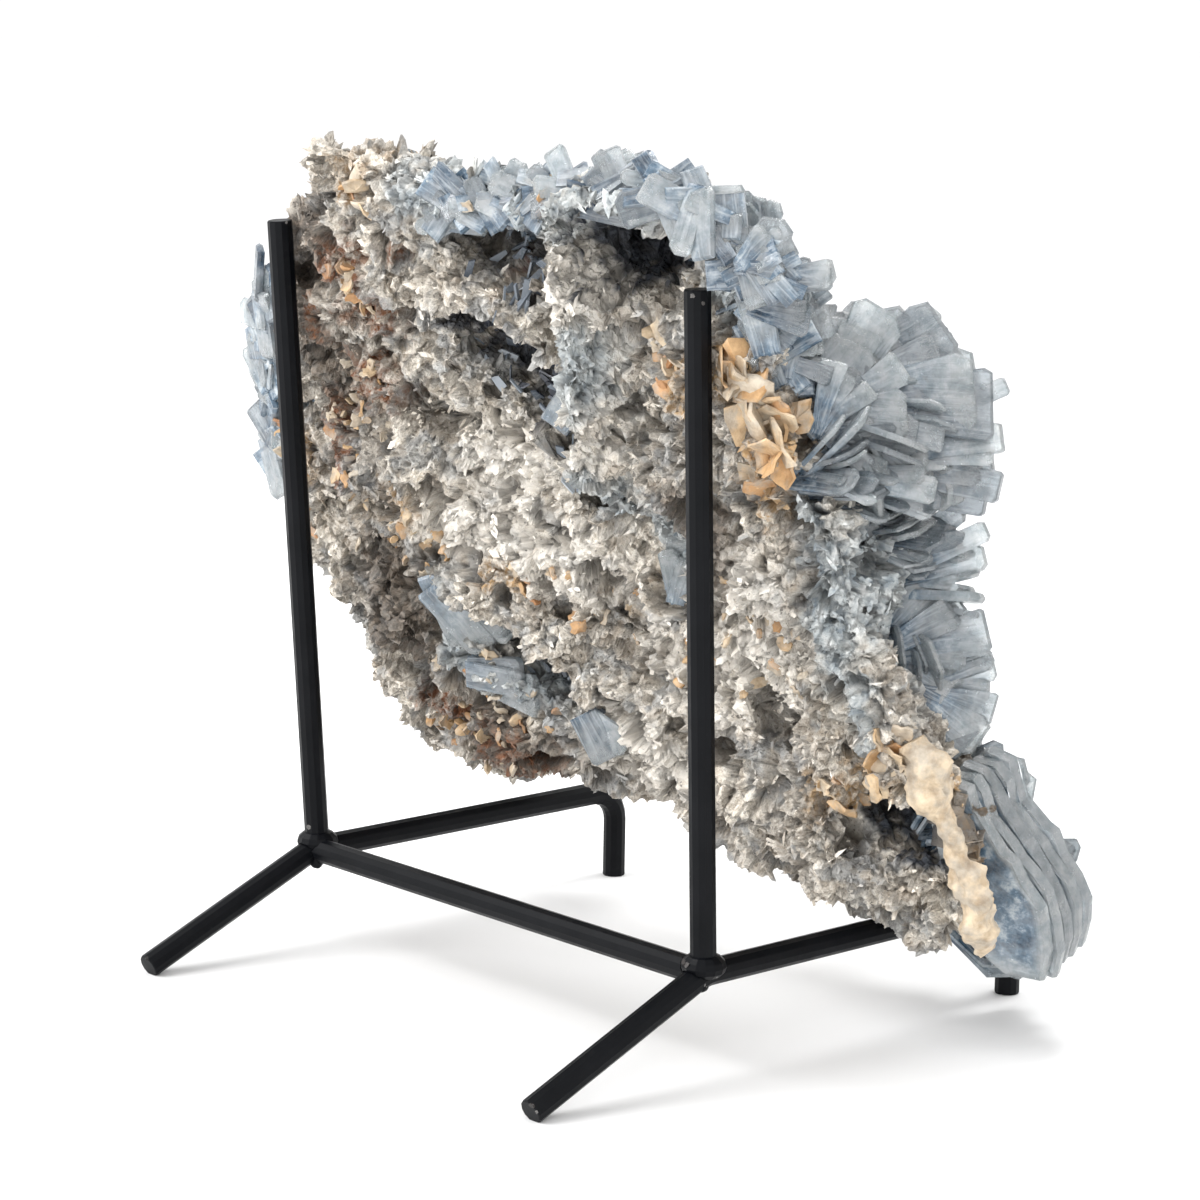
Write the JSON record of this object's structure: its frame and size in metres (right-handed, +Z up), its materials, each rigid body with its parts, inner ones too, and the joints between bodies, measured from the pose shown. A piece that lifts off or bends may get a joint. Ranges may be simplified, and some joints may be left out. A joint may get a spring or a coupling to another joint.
{
  "type": "barite specimen on a display stand",
  "caption": "Blue barite crystal specimen with a rough pale back, leaning on a welded display stand of black steel rod.",
  "frame": {"origin": "centre of the bounding box at floor level, under the stone", "axes": "+X across the stand from the left upright to the right one, +Y from the two uprights towards the front legs, +Z up; the rough back of the stone faces -Y and leans on the uprights"},
  "size_m": [0.2278, 0.155, 0.2025],
  "materials": {
    "barite": "pale grey and cream sugary crust with ochre and rust stains, and clear to slate-blue tabular crystals",
    "rod": "satin black paint over welded steel rod, chipped at the weld beads and the cut ends"
  },
  "bodies": {
    "root": {"barite": "barite", "base_rod_left": "rod", "base_rod_right": "rod", "upright_left": "rod", "upright_right": "rod", "cross_rod": "rod"}
  },
  "joints": []
}
